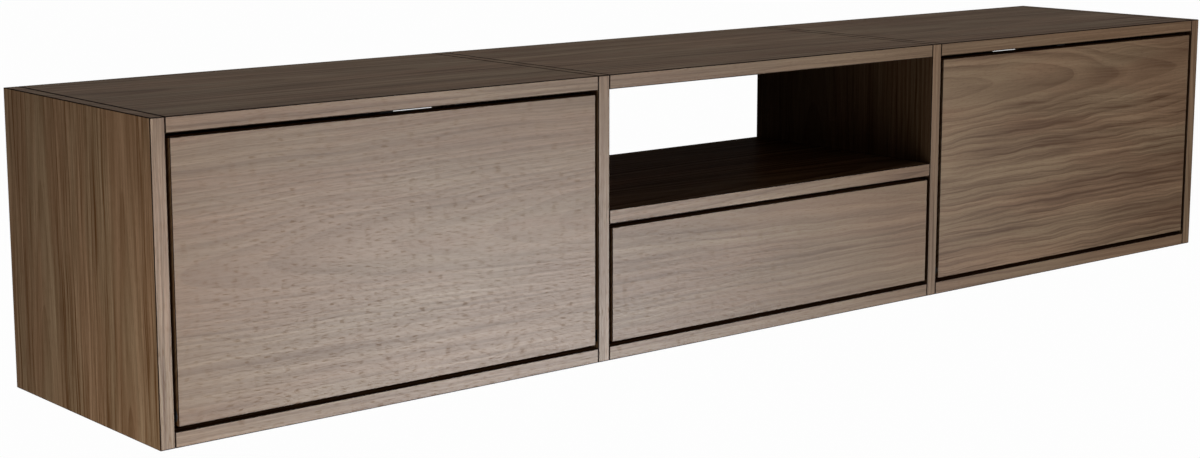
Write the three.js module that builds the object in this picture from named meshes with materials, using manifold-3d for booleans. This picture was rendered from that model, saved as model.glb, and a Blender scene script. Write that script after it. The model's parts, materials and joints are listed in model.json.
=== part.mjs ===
// A wall-hung media console with three equal bays between four full-height uprights.
// The outer bays close with drop-down flaps, and the centre bay has an open niche above a drawer.
// Frame: X along the length, Y from the front (negative) to the wall (zero), Z up.
// The origin is the centre of the console's back, on the wall plane. Lengths are in millimetres.

import * as THREE from 'three';
import { RoundedBoxGeometry } from 'three/addons/geometries/RoundedBoxGeometry.js';
import { mergeVertices } from 'three/addons/utils/BufferGeometryUtils.js';
import Module from 'manifold-3d';

// Carcase
const boardThickness = 19; // every carcase board and every front
const consoleHeight = 380;
const consoleDepth = 372;
const bayWidth = 625; // clear width between two uprights
const bayCount = 3;
const nicheHeight = 159; // clear height of the open niche
const arris = 0.7; // rounding along every board edge
const jointGap = 0.1; // glue line between butted boards, and under what is screwed on

// Back boards
const backThickness = 8;
const serviceGap = 18; // from the back boards to the wall
const notchWidth = 105; // cut-outs at the top corners of the flap bays' back boards
const notchDepth = 55.9;
const notchRadius = 20;

// Fronts
const reveal = 5; // gap all round each flap and the drawer front

// Flap pivots
const pivotRise = 12; // hinge axis above the flap's lower edge
const pivotPinRadius = 4;
const pivotPinReach = 14; // length of pin inside the flap
const pivotPlateLength = 34;
const pivotPlateHeight = 16;
const pivotPlateThickness = 2.5;
const pivotPlateLead = 7; // hinge axis behind the plate's front end
const plateScrewRadius = 2;
const plateScrewPitch = 10;
const bushRadius = 6;
const bushLength = 18;
const bushFlangeRadius = 8;
const bushFlangeThickness = 1;
const runningClearance = 0.2; // radial, between a pin and its hole

// Flap dampers
const flapSwing = 90; // degrees from closed to open
const damperReach = 128; // hinge axis to either end pin
const damperStandoff = 21.5; // flap-end pin behind the flap's middle plane
const damperClosedAngle = 72; // degrees between the two end pins, seen from the hinge axis
const damperOffset = 12; // damper axis to the bay's outer wall
const damperBodyRadius = 7;
const damperBoreRadius = 3.6;
const damperBoreFloor = 12; // solid end of the body, measured from its pin
const damperRodRadius = 3;
const damperRodPlay = 4.5; // free bore behind the rod when the flap is closed
const damperNose = 14; // bare rod between body and flap-end eye when the flap is closed
const damperPinRadius = 2.5;
const eyeRadius = 6.5;
const eyeWidth = 6;
const eyeClearance = 0.4;
const eyeSideGap = 1; // from an eye's face to the bracket's ear, and to the end of the anchor's pin
const bracketThickness = 2;
const bracketHeight = 28;
const bracketFoot = 18; // width of the foot on the flap
const anchorPlateLength = 34;
const anchorPlateHeight = 20;

// Push latches
const latchWidth = 20;
const latchHeight = 20;
const latchLength = 78;
const drawerLatchLength = 50;
const drawerLatchGap = 2.6; // behind the drawer's latch
const latchDrop = 12; // plunger axis to the board that the latch is screwed to
const latchRounding = 1.5;
const latchLugWidth = 36;
const latchLugLength = 14;
const latchLugThickness = 2.5;
const plungerRadius = 3.5;
const plungerClearance = 0.5;
const plungerHeadRadius = 4.5;
const plungerHeadLength = 3;
const plungerStandoff = 1; // head to housing, latch closed
const plungerShare = 0.7; // part of the housing's length that the plunger fills
const plungerPlay = 4; // free bore behind the plunger
const tipGap = 0.4; // plunger to what it pushes
const strikeWidth = 24;
const strikeHeight = 11;
const strikeThickness = 1;

// Drawer
const drawerBoardThickness = 12;
const drawerHeadroom = 48; // from the box's upper edge to the niche shelf
const drawerFloorClearance = 6; // box above the bottom panel
const drawerBottomThickness = 6;
const drawerBottomRise = 10; // groove above the box's lower edge
const grooveDepth = 6;
const grooveClearance = 0.3;

// Drawer runners
const runnerSpace = 12.5; // from the divider to the drawer box
const runnerTail = 18; // the drawer box reaches this far behind its runners
const runnerHeight = 45;
const runnerGauge = 1.2;
const runnerBallGap = 3.6; // between the nested channels' flanges
const runnerFloat = 0.7; // between the nested channels' webs
const runnerSetback = 2; // behind the drawer front

// Wall rails and hangers
const railHeight = 36;
const railGauge = 2;
const railStep = 10; // the lip's back face to the wall
const railLip = 12; // height of the lip
const railDrop = 12; // top of the lip below the top panel
const railEndGap = 8;
const railHoleRadius = 3;
const railHoleCount = 4;
const railHoleInset = 45;
const hangerWidth = 20;
const hangerLength = 60;
const hangerHeight = 45;
const hangerRounding = 1;
const hookWidth = 8;
const hookThickness = 5;
const hookBite = 9; // depth of the hook behind the lip
const hookClearance = 1;
const adjusterRadius = 4;
const adjusterDepth = 5;
const adjusterPitch = 18;

// Curves
const roundSteps = 24;
const arrisSteps = 1;
const cutOverrun = 5; // how far a cutter stands out of what it cuts

// Places that follow from the driving dimensions
const bayPitch = bayWidth + boardThickness;
const consoleWidth = bayCount * bayPitch + boardThickness;
const topFace = consoleHeight / 2;
const bottomFace = -consoleHeight / 2;
const insideTop = topFace - boardThickness;
const insideBottom = bottomFace + boardThickness;
const frontFace = -consoleDepth;
const frontBack = frontFace + boardThickness; // inner face of the flaps and the drawer front
const backRear = -serviceGap;
const backFront = backRear - backThickness;
const nicheFloor = insideTop - nicheHeight;
const drawerTop = nicheFloor - boardThickness; // underside of the niche shelf
const outerWall = consoleWidth / 2 - boardThickness; // inner face of a side panel
const dividerOuter = bayWidth / 2 + boardThickness; // divider's face towards a flap bay
const dividerInner = bayWidth / 2;
const flapHeight = insideTop - insideBottom - 2 * reveal;
const hingeY = frontFace + boardThickness / 2;
const hingeZ = insideBottom + reveal + pivotRise;

const wasm = await Module();
wasm.setup();

// Materials

const finish = (colour, roughness, metalness) => () =>
  new THREE.MeshStandardMaterial({ color: colour, roughness, metalness });
const walnut = finish(0x7a6656, 0.55, 0);
const walnutFront = finish(0x8c7a6c, 0.55, 0);
const drawerWood = finish(0xc9b08a, 0.6, 0);
const zincSteel = finish(0xa9adb0, 0.35, 0.9);
const darkPlastic = finish(0x2b2b2c, 0.5, 0);
const damperPaint = finish(0x2a2a2d, 0.4, 0.3);
const paleNylon = finish(0xd8d6cf, 0.45, 0);
const satinRod = finish(0xc4c7ca, 0.2, 1);

// Solid helpers

function toSolid(geometry) {
  const bare = geometry.clone();
  bare.deleteAttribute('normal');
  bare.deleteAttribute('uv');
  const merged = mergeVertices(bare);
  const mesh = new wasm.Mesh({
    numProp: 3,
    vertProperties: Float32Array.from(merged.attributes.position.array),
    triVerts: Uint32Array.from(merged.index.array),
  });
  return new wasm.Manifold(mesh);
}

function toGeometry(solid) {
  const mesh = solid.getMesh();
  const geometry = new THREE.BufferGeometry();
  geometry.setAttribute('position', new THREE.BufferAttribute(mesh.vertProperties, 3));
  geometry.setIndex(new THREE.BufferAttribute(mesh.triVerts, 1));
  geometry.computeVertexNormals();
  return geometry;
}

function join(...geometries) {
  return toGeometry(geometries.map(toSolid).reduce((whole, piece) => whole.add(piece)));
}

function cut(geometry, ...tools) {
  return toGeometry(tools.map(toSolid).reduce((rest, tool) => rest.subtract(tool), toSolid(geometry)));
}

function span([from, to]) {
  return { centre: (from + to) / 2, size: Math.abs(to - from) };
}

// A block between three pairs of faces, with its edges rounded.
function block(rangeX, rangeY, rangeZ, rounding = arris) {
  const [x, y, z] = [rangeX, rangeY, rangeZ].map(span);
  const geometry = new RoundedBoxGeometry(x.size, y.size, z.size, arrisSteps, rounding);
  return geometry.translate(x.centre, y.centre, z.centre);
}

function sharpBlock(rangeX, rangeY, rangeZ) {
  const [x, y, z] = [rangeX, rangeY, rangeZ].map(span);
  return new THREE.BoxGeometry(x.size, y.size, z.size).translate(x.centre, y.centre, z.centre);
}

// A round bar along X between two faces.
function barX(radius, rangeX, y, z) {
  const { centre, size } = span(rangeX);
  const geometry = new THREE.CylinderGeometry(radius, radius, size, roundSteps);
  return geometry.rotateZ(Math.PI / 2).translate(centre, y, z);
}

// A round bar along Y between two faces.
function barY(radius, rangeY, x, z) {
  const { centre, size } = span(rangeY);
  const geometry = new THREE.CylinderGeometry(radius, radius, size, roundSteps);
  return geometry.translate(x, centre, z);
}

// A solid of revolution about Y from [radius, y] points.
function turned(points) {
  return new THREE.LatheGeometry(points.map(([radius, y]) => new THREE.Vector2(radius, y)), roundSteps);
}

// A profile of [y, z] points swept along X.
function sweptX(points, rangeX) {
  const { centre, size } = span(rangeX);
  const shape = new THREE.Shape(points.map(([y, z]) => new THREE.Vector2(y, z)));
  const geometry = new THREE.ExtrudeGeometry(shape, { depth: size, bevelEnabled: false });
  const turn = new THREE.Matrix4().makeBasis(
    new THREE.Vector3(0, 1, 0),
    new THREE.Vector3(0, 0, 1),
    new THREE.Vector3(1, 0, 0),
  );
  return geometry.translate(0, 0, -size / 2).applyMatrix4(turn).translate(centre, 0, 0);
}

// Adds a mesh whose own origin is its middle, placed in the frame of the group that carries it.
function addPart(group, name, geometry, material) {
  geometry.computeBoundingBox();
  const middle = geometry.boundingBox.getCenter(new THREE.Vector3());
  geometry.translate(-middle.x, -middle.y, -middle.z);
  const mesh = new THREE.Mesh(geometry, material());
  mesh.name = name;
  mesh.position.copy(middle);
  group.add(mesh);
  return mesh;
}

// A group at a place in the console, turned about X.
function frameAt(x, y, z, turnX = 0) {
  const group = new THREE.Group();
  group.position.set(x, y, z);
  group.rotation.x = turnX;
  return group;
}

// Carcase

const sides = [
  { name: 'left', sign: -1 },
  { name: 'right', sign: 1 },
];

// The recess that takes a flap's pivot plate, in an upright whose face is at faceX.
function pivotRecess(faceX, intoBoard) {
  const floor = faceX + intoBoard * (pivotPlateThickness + jointGap);
  const open = faceX - intoBoard * cutOverrun;
  return sharpBlock(
    [floor, open],
    [hingeY - pivotPlateLead - jointGap, hingeY - pivotPlateLead + pivotPlateLength + jointGap],
    [hingeZ - pivotPlateHeight / 2 - jointGap, hingeZ + pivotPlateHeight / 2 + jointGap],
  );
}

function buildUprights(group) {
  for (const { name, sign } of sides) {
    const sidePanel = block(
      [sign * outerWall, sign * (outerWall + boardThickness)],
      [frontFace, 0],
      [bottomFace, topFace],
    );
    const divider = block(
      [sign * dividerInner, sign * dividerOuter],
      [frontFace, 0],
      [bottomFace, topFace],
    );
    addPart(group, `side_panel_${name}`, cut(sidePanel, pivotRecess(sign * outerWall, sign)), walnut);
    addPart(group, `divider_${name}`, cut(divider, pivotRecess(sign * dividerOuter, -sign)), walnut);
  }
}

function buildLevelBoards(group) {
  const bays = [
    { name: 'left', centre: -bayPitch },
    { name: 'centre', centre: 0 },
    { name: 'right', centre: bayPitch },
  ];
  const halfBoard = bayWidth / 2 - jointGap;
  const depth = [frontFace, 0];
  for (const { name, centre } of bays) {
    const along = [centre - halfBoard, centre + halfBoard];
    addPart(group, `top_panel_${name}`, block(along, depth, [insideTop, topFace]), walnut);
    addPart(group, `bottom_panel_${name}`, block(along, depth, [bottomFace, insideBottom]), walnut);
  }
  const shelf = block([-halfBoard, halfBoard], depth, [drawerTop, nicheFloor]);
  addPart(group, 'niche_shelf', shelf, walnut);
}

// The cut-out at a top corner of a back board, with its lower inner corner rounded.
function hangerNotch(wallX, intoBay) {
  const low = insideTop - notchDepth;
  const inner = wallX + intoBay * notchWidth;
  const depth = [backFront - cutOverrun, backRear + cutOverrun];
  const middleX = inner - intoBay * notchRadius;
  const high = insideTop + cutOverrun;
  return join(
    sharpBlock([wallX - intoBay * cutOverrun, middleX], depth, [low, high]),
    sharpBlock([wallX, inner], depth, [low + notchRadius, high]),
    barY(notchRadius, depth, middleX, low + notchRadius),
  );
}

function buildBackBoards(group) {
  const depth = [backFront, backRear];
  for (const { name, sign } of sides) {
    const board = block(
      [sign * (dividerOuter + jointGap), sign * (outerWall - jointGap)],
      depth,
      [insideBottom + jointGap, insideTop - jointGap],
    );
    const notches = [hangerNotch(sign * outerWall, -sign), hangerNotch(sign * dividerOuter, sign)];
    addPart(group, `back_board_${name}`, cut(board, ...notches), walnut);
  }
  const halfBoard = bayWidth / 2 - jointGap;
  const centre = block([-halfBoard, halfBoard], depth, [insideBottom + jointGap, drawerTop - jointGap]);
  addPart(group, 'back_board_centre', centre, walnut);
}

// Flaps

// The plate in an upright with the pin that the flap turns on. faceX is the upright's face.
function buildPivotPlate(group, name, faceX, intoBay) {
  const start = hingeY - pivotPlateLead;
  const plate = sharpBlock(
    [faceX - intoBay * pivotPlateThickness, faceX],
    [start, start + pivotPlateLength],
    [hingeZ - pivotPlateHeight / 2, hingeZ + pivotPlateHeight / 2],
  );
  const pin = barX(
    pivotPinRadius,
    [faceX - (intoBay * pivotPlateThickness) / 2, faceX + intoBay * (reveal + pivotPinReach)],
    hingeY,
    hingeZ,
  );
  const holes = [1, 2].map((step) =>
    barX(
      plateScrewRadius,
      [faceX - intoBay * cutOverrun, faceX + intoBay * cutOverrun],
      hingeY + step * plateScrewPitch,
      hingeZ,
    ),
  );
  addPart(group, name, cut(join(plate, pin), ...holes), zincSteel);
}

// The nylon bush in a flap's end, on the hinge axis. endX is the flap's end face.
function buildPivotBush(flap, name, endX, intoFlap) {
  const bore = pivotPinRadius + runningClearance;
  const ring = turned([
    [bore, -bushFlangeThickness],
    [bushFlangeRadius, -bushFlangeThickness],
    [bushFlangeRadius, -jointGap],
    [bushRadius, -jointGap],
    [bushRadius, bushLength],
    [bore, bushLength],
    [bore, -bushFlangeThickness],
  ]);
  ring.rotateZ(-intoFlap * (Math.PI / 2)).translate(endX, 0, 0);
  addPart(flap, name, ring, paleNylon);
}

function buildFlap(group, name, sign) {
  const flap = frameAt(0, hingeY, hingeZ);
  const ends = [
    { end: 'outer', wallX: sign * outerWall, intoBay: -sign },
    { end: 'inner', wallX: sign * dividerOuter, intoBay: sign },
  ];
  const board = block(
    ends.map(({ wallX, intoBay }) => wallX + intoBay * reveal),
    [-boardThickness / 2, boardThickness / 2],
    [-pivotRise, flapHeight - pivotRise],
  );
  const bores = ends.map(({ wallX, intoBay }) => {
    const endX = wallX + intoBay * reveal;
    return barX(
      bushRadius + jointGap,
      [endX - intoBay * cutOverrun, endX + intoBay * (bushLength + jointGap)],
      0,
      0,
    );
  });
  addPart(flap, `flap_${name}`, cut(board, ...bores), walnutFront);
  for (const { end, wallX, intoBay } of ends) {
    buildPivotBush(flap, `pivot_bush_${name}_${end}`, wallX + intoBay * reveal, intoBay);
    buildPivotPlate(group, `pivot_plate_${name}_${end}`, wallX, intoBay);
  }
  buildStrikePlate(flap, name, sign);
  buildDamper(group, flap, name, sign);
  group.add(flap);
}

// The steel plate that the latch plunger pushes on, in the flap's frame.
function buildStrikePlate(flap, name, sign) {
  const middleX = sign * bayPitch;
  const middleZ = insideTop - latchDrop - hingeZ;
  const seat = boardThickness / 2 + jointGap;
  const plate = sharpBlock(
    [middleX - strikeWidth / 2, middleX + strikeWidth / 2],
    [seat, seat + strikeThickness],
    [middleZ - strikeHeight / 2, middleZ + strikeHeight / 2],
  );
  addPart(flap, `strike_plate_${name}`, plate, zincSteel);
}

// Dampers. Both end pins lie at damperReach from the hinge axis, so body and rod each turn
// by exactly half of the flap's angle and stay on one line.

const radians = (degrees) => (degrees * Math.PI) / 180;
const flapPinAngle = Math.asin(damperStandoff / damperReach); // from upright, towards the wall
const bodyPinAngle = flapPinAngle + radians(damperClosedAngle);
const flapPin = { y: damperReach * Math.sin(flapPinAngle), z: damperReach * Math.cos(flapPinAngle) };
const bodyPin = { y: damperReach * Math.sin(bodyPinAngle), z: damperReach * Math.cos(bodyPinAngle) };
const damperClosedLength = 2 * damperReach * Math.sin(radians(damperClosedAngle) / 2);
const damperOpenLength = 2 * damperReach * Math.sin(radians(damperClosedAngle + flapSwing) / 2);
const damperTurn = Math.atan2(flapPin.z - bodyPin.z, flapPin.y - bodyPin.y);
const damperBodyEnd = damperClosedLength - eyeRadius - damperNose;
const damperRodLength = damperClosedLength - damperBoreFloor - damperRodPlay;

function damperEye() {
  return barX(eyeRadius, [-eyeWidth / 2, eyeWidth / 2], 0, 0);
}

function damperEyeHole() {
  return barX(damperPinRadius + eyeClearance, [-eyeWidth, eyeWidth], 0, 0);
}

function buildDamperBody(group, name, x) {
  const body = frameAt(x, hingeY + bodyPin.y, hingeZ + bodyPin.z, damperTurn);
  const shell = turned([
    [0, damperPinRadius + eyeClearance],
    [eyeWidth / 2, damperPinRadius + eyeClearance],
    [eyeWidth / 2, eyeRadius],
    [damperBodyRadius, eyeRadius + arris],
    [damperBodyRadius, damperBodyEnd],
    [damperBoreRadius, damperBodyEnd],
    [damperBoreRadius, damperBoreFloor],
    [0, damperBoreFloor],
  ]);
  addPart(body, `damper_body_${name}`, cut(join(shell, damperEye()), damperEyeHole()), damperPaint);
  group.add(body);
}

function buildDamperRod(flap, name, x) {
  const rod = frameAt(x, flapPin.y, flapPin.z, damperTurn + Math.PI);
  const stem = turned([
    [0, damperPinRadius + eyeClearance],
    [damperRodRadius, damperPinRadius + eyeClearance],
    [damperRodRadius, damperRodLength],
    [0, damperRodLength],
  ]);
  addPart(rod, `damper_rod_${name}`, cut(join(stem, damperEye()), damperEyeHole()), satinRod);
  flap.add(rod);
}

// The plate on the bay's outer wall with the pin that carries the damper body.
function buildDamperAnchor(group, name, sign) {
  const y = hingeY + bodyPin.y;
  const z = hingeZ + bodyPin.z;
  const wallSide = sign * (outerWall - jointGap);
  const plateFace = wallSide - sign * bracketThickness;
  const pinEnd = sign * (outerWall - damperOffset - eyeWidth / 2 - eyeSideGap);
  const plate = sharpBlock(
    [wallSide, plateFace],
    [y - anchorPlateLength / 2, y + anchorPlateLength / 2],
    [z - anchorPlateHeight / 2, z + anchorPlateHeight / 2],
  );
  const pin = barX(damperPinRadius, [wallSide - (sign * bracketThickness) / 2, pinEnd], y, z);
  const holes = [-1, 1].map((step) =>
    barX(
      plateScrewRadius,
      [sign * outerWall, plateFace - sign * cutOverrun],
      y + step * plateScrewPitch,
      z,
    ),
  );
  addPart(group, `damper_anchor_${name}`, cut(join(plate, pin), ...holes), zincSteel);
}

// The angle bracket on the flap's inner face, with the pin that takes the rod's eye.
function buildDamperBracket(flap, name, sign) {
  const seat = boardThickness / 2 + jointGap;
  const earX = sign * (outerWall - damperOffset - eyeWidth / 2 - eyeSideGap);
  const earFar = earX - sign * bracketThickness;
  const high = [flapPin.z - bracketHeight / 2, flapPin.z + bracketHeight / 2];
  const ear = sharpBlock([earX, earFar], [seat, flapPin.y + eyeRadius], high);
  const foot = sharpBlock([earX, earX - sign * bracketFoot], [seat, seat + bracketThickness], high);
  const pin = barX(
    damperPinRadius,
    [earFar + (sign * bracketThickness) / 2, sign * (outerWall - damperOffset + eyeWidth / 2)],
    flapPin.y,
    flapPin.z,
  );
  const holes = [-1, 1].map((step) =>
    barY(
      plateScrewRadius,
      [0, seat + bracketThickness + cutOverrun],
      earX - (sign * (bracketFoot + bracketThickness)) / 2,
      flapPin.z + (step * plateScrewPitch) / 2 + step * plateScrewRadius,
    ),
  );
  addPart(flap, `damper_bracket_${name}`, cut(join(ear, foot, pin), ...holes), zincSteel);
}

function buildDamper(group, flap, name, sign) {
  const x = sign * (outerWall - damperOffset);
  buildDamperBody(group, name, x);
  buildDamperRod(flap, name, x);
  buildDamperAnchor(group, name, sign);
  buildDamperBracket(flap, name, sign);
}

// Push latches

// A latch screwed to a level board. up is 1 where the board is below it and -1 where it is above.
function buildLatch(group, name, middleX, boardZ, up, tipY, length) {
  const seatZ = boardZ + up * jointGap;
  const axisZ = boardZ + up * latchDrop;
  const headBack = tipY + plungerHeadLength;
  const housingFront = headBack + plungerStandoff;
  const housingBack = housingFront + length;
  const plungerEnd = housingFront + length * plungerShare;
  const body = block(
    [middleX - latchWidth / 2, middleX + latchWidth / 2],
    [housingFront, housingBack],
    [seatZ, seatZ + up * latchHeight],
    latchRounding,
  );
  const lug = block(
    [middleX - latchLugWidth / 2, middleX + latchLugWidth / 2],
    [housingBack - latchLugLength - latchRounding, housingBack - latchRounding],
    [seatZ, seatZ + up * latchLugThickness],
    arris,
  );
  const bore = barY(
    plungerRadius + plungerClearance,
    [housingFront - cutOverrun, plungerEnd + plungerPlay],
    middleX,
    axisZ,
  );
  const plunger = turned([
    [0, tipY],
    [plungerHeadRadius, tipY],
    [plungerHeadRadius, headBack],
    [plungerRadius, headBack],
    [plungerRadius, plungerEnd],
    [0, plungerEnd],
  ]).translate(middleX, 0, axisZ);
  addPart(group, `latch_housing_${name}`, cut(join(body, lug), bore), darkPlastic);
  addPart(group, `latch_plunger_${name}`, plunger, paleNylon);
}

function buildFlapLatches(group) {
  const tipY = frontBack + jointGap + strikeThickness + tipGap;
  for (const { name, sign } of sides) {
    buildLatch(group, name, sign * bayPitch, insideTop, -1, tipY, latchLength);
  }
}

// Drawer

const boxOuter = dividerInner - runnerSpace;
const boxInner = boxOuter - drawerBoardThickness;
const boxLow = insideBottom + drawerFloorClearance;
const boxHigh = drawerTop - drawerHeadroom;
const boxFront = frontBack + jointGap;
const drawerLatchBack = backFront - drawerLatchGap;
const drawerLatchTip = drawerLatchBack - drawerLatchLength - plungerStandoff - plungerHeadLength;
const boxBack = drawerLatchTip - tipGap;

function buildDrawer(group) {
  const high = [boxLow, boxHigh];
  const bottomLow = boxLow + drawerBottomRise;
  const groove = [bottomLow - grooveClearance, bottomLow + drawerBottomThickness + grooveClearance];
  const grooveX = boxInner + grooveDepth;
  const grooveFront = boxFront + drawerBoardThickness - grooveDepth;
  const grooveBack = boxBack - drawerBoardThickness + grooveDepth;
  const grooving = sharpBlock([-grooveX, grooveX], [grooveFront, grooveBack], groove);
  const halfFront = dividerInner - reveal;

  addPart(
    group,
    'drawer_front',
    block([-halfFront, halfFront], [frontFace, frontBack], [insideBottom + reveal, drawerTop - reveal]),
    walnutFront,
  );
  for (const { name, sign } of sides) {
    const side = block([sign * boxInner, sign * boxOuter], [boxFront, boxBack], high);
    addPart(group, `drawer_side_${name}`, cut(side, grooving), drawerWood);
  }
  const across = [-boxInner + jointGap, boxInner - jointGap];
  const inner = block(across, [boxFront, boxFront + drawerBoardThickness], high);
  const back = block(across, [boxBack - drawerBoardThickness, boxBack], high);
  addPart(group, 'drawer_inner_front', cut(inner, grooving), drawerWood);
  addPart(group, 'drawer_back', cut(back, grooving), drawerWood);
  const bottom = sharpBlock(
    [-grooveX + grooveClearance, grooveX - grooveClearance],
    [grooveFront + grooveClearance, grooveBack - grooveClearance],
    [bottomLow, bottomLow + drawerBottomThickness],
  );
  addPart(group, 'drawer_bottom', bottom, drawerWood);
}

// A channel along Y: web from webOut to webIn, flanges reaching to lipX. All are X places.
function channel(webOut, webIn, lipX, halfHeight, along) {
  const web = sharpBlock([webOut, webIn], along, [-halfHeight, halfHeight]);
  const flanges = [-1, 1].map((up) =>
    sharpBlock([webOut, lipX], along, [up * (halfHeight - runnerGauge), up * halfHeight]),
  );
  return join(web, ...flanges);
}

// Each runner is three nested channels: on the divider, between, and on the drawer.
function buildRunners(group) {
  const middleZ = (boxLow + boxHigh) / 2;
  const along = [frontBack + runnerSetback, boxBack - runnerTail];
  const step = runnerGauge + runnerBallGap;
  for (const { name, sign } of sides) {
    const place = (offset) => sign * (dividerInner - offset);
    const cabinetWeb = [jointGap, jointGap + runnerGauge];
    const middleWeb = cabinetWeb.map((offset) => offset + runnerGauge + runnerFloat);
    const drawerWeb = [runnerSpace - jointGap, runnerSpace - jointGap - runnerGauge];
    const outerLip = drawerWeb[1] - runnerFloat;
    const innerLip = middleWeb[1] + runnerFloat;
    const members = [
      { part: 'cabinet', web: cabinetWeb, lip: outerLip, half: runnerHeight / 2 },
      { part: 'middle', web: middleWeb, lip: outerLip, half: runnerHeight / 2 - step },
      { part: 'drawer', web: drawerWeb, lip: innerLip, half: runnerHeight / 2 - 2 * step },
    ];
    for (const { part, web, lip, half } of members) {
      const member = channel(place(web[0]), place(web[1]), place(lip), half, along);
      addPart(group, `runner_${part}_${name}`, member.translate(0, 0, middleZ), zincSteel);
    }
  }
}

function buildDrawerLatch(group) {
  buildLatch(group, 'drawer', 0, insideBottom, 1, drawerLatchTip, drawerLatchLength);
}

// Wall fixing

const railTop = insideTop - railDrop;

function buildRail(group, name, sign) {
  const low = railTop - railHeight;
  const stepTop = railTop - railLip;
  const stepLow = stepTop - railGauge;
  const outline = [
    [0, low],
    [0, stepTop],
    [-railStep, stepTop],
    [-railStep, railTop],
    [-railStep - railGauge, railTop],
    [-railStep - railGauge, stepLow],
    [-railGauge, stepLow],
    [-railGauge, low],
  ];
  const half = bayWidth / 2 - railEndGap;
  const middle = sign * bayPitch;
  const first = middle - half + railHoleInset;
  const pitch = (2 * (half - railHoleInset)) / (railHoleCount - 1);
  const holeZ = (low + stepLow) / 2;
  const holes = Array.from({ length: railHoleCount }, (_, index) =>
    barY(railHoleRadius, [-railGauge - cutOverrun, cutOverrun], first + index * pitch, holeZ),
  );
  const rail = sweptX(outline, [middle - half, middle + half]);
  addPart(group, `wall_rail_${name}`, cut(rail, ...holes), zincSteel);
}

// A hanger stands in the bay's top rear corner, and its hook drops behind the rail's lip.
function buildHanger(group, name, wallX, intoBay) {
  const bodyBack = backFront;
  const bodyFront = bodyBack - hangerLength;
  const bodyTop = insideTop - jointGap;
  const near = wallX + intoBay * jointGap;
  const far = near + intoBay * hangerWidth;
  const middleX = (near + far) / 2;
  const hookX = [middleX - hookWidth / 2, middleX + hookWidth / 2];
  const hookLow = railTop + hookClearance;
  const armTop = hookLow + hookThickness;
  const hookBack = -railStep + hookClearance + hookThickness;
  const bodyHigh = [bodyTop - hangerHeight, bodyTop];
  const body = block([near, far], [bodyFront, bodyBack], bodyHigh, hangerRounding);
  const arm = sharpBlock(hookX, [bodyBack - hookThickness, hookBack], [hookLow, armTop]);
  const tooth = sharpBlock(hookX, [hookBack - hookThickness, hookBack], [railTop - hookBite, armTop]);
  const adjusters = [-1, 1].map((step) =>
    barY(
      adjusterRadius,
      [bodyFront - cutOverrun, bodyFront + adjusterDepth],
      middleX,
      bodyTop - hangerHeight / 2 + (step * adjusterPitch) / 2,
    ),
  );
  addPart(group, `hanger_${name}`, cut(join(body, arm, tooth), ...adjusters), zincSteel);
}

function buildWallFixing(group) {
  for (const { name, sign } of sides) {
    buildRail(group, name, sign);
    buildHanger(group, `${name}_outer`, sign * outerWall, -sign);
    buildHanger(group, `${name}_inner`, sign * dividerOuter, sign);
  }
}

// Assembly

const mediaConsole = new THREE.Group();
buildUprights(mediaConsole);
buildLevelBoards(mediaConsole);
buildBackBoards(mediaConsole);
for (const { name, sign } of sides) buildFlap(mediaConsole, name, sign);
buildFlapLatches(mediaConsole);
buildDrawer(mediaConsole);
buildRunners(mediaConsole);
buildDrawerLatch(mediaConsole);
buildWallFixing(mediaConsole);

export default mediaConsole;
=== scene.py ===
import json
import math
from typing import NamedTuple

import bmesh
import bpy
from bpy.props import FloatProperty, FloatVectorProperty, IntProperty, PointerProperty
from mathutils import Matrix, Vector


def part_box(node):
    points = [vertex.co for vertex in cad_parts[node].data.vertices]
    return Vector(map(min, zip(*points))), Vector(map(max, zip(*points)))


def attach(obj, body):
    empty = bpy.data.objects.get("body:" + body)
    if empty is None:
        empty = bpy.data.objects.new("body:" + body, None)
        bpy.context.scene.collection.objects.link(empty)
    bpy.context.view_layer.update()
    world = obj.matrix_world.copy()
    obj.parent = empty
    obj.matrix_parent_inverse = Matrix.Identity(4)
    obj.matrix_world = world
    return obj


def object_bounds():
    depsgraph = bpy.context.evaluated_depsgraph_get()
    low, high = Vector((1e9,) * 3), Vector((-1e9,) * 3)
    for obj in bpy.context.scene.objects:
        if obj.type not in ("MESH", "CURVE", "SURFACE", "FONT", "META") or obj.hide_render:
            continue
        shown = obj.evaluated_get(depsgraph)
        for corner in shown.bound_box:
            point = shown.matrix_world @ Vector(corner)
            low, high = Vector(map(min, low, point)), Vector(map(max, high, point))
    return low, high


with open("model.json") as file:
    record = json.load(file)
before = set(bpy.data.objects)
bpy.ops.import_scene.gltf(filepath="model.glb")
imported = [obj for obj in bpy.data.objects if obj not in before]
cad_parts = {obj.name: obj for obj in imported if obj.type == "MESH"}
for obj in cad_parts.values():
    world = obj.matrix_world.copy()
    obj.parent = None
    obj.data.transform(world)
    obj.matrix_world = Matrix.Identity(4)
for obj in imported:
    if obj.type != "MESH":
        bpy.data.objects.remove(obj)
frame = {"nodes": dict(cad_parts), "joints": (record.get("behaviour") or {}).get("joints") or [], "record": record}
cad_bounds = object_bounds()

bl_info = {
    "name": "Wall-hung media console",
    "version": (1, 0, 0),
    "blender": (4, 5, 0),
    "location": "3D View > Sidebar > Console",
    "description": "Finishes a walnut console, adds its small hardware and sets up the studio",
    "category": "Object",
}

AXES = "XYZ"
SIDES = (("left", -1), ("right", 1))


# Places read from the frame

def low(node):
    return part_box(node)[0]


def high(node):
    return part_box(node)[1]


def middle(node):
    return (low(node) + high(node)) / 2


def side_face(node, sign):
    """The x of a node's right face, or of its left one where the sign is negative."""
    return (high(node) if sign > 0 else low(node)).x


def joint_place(name):
    """The point on a hinge's axis that the frame gives."""
    found = [joint for joint in frame["joints"] if joint["name"] == name]
    return Vector(found[0]["pos_m"])


# Sizes and colours that a user would change

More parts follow.
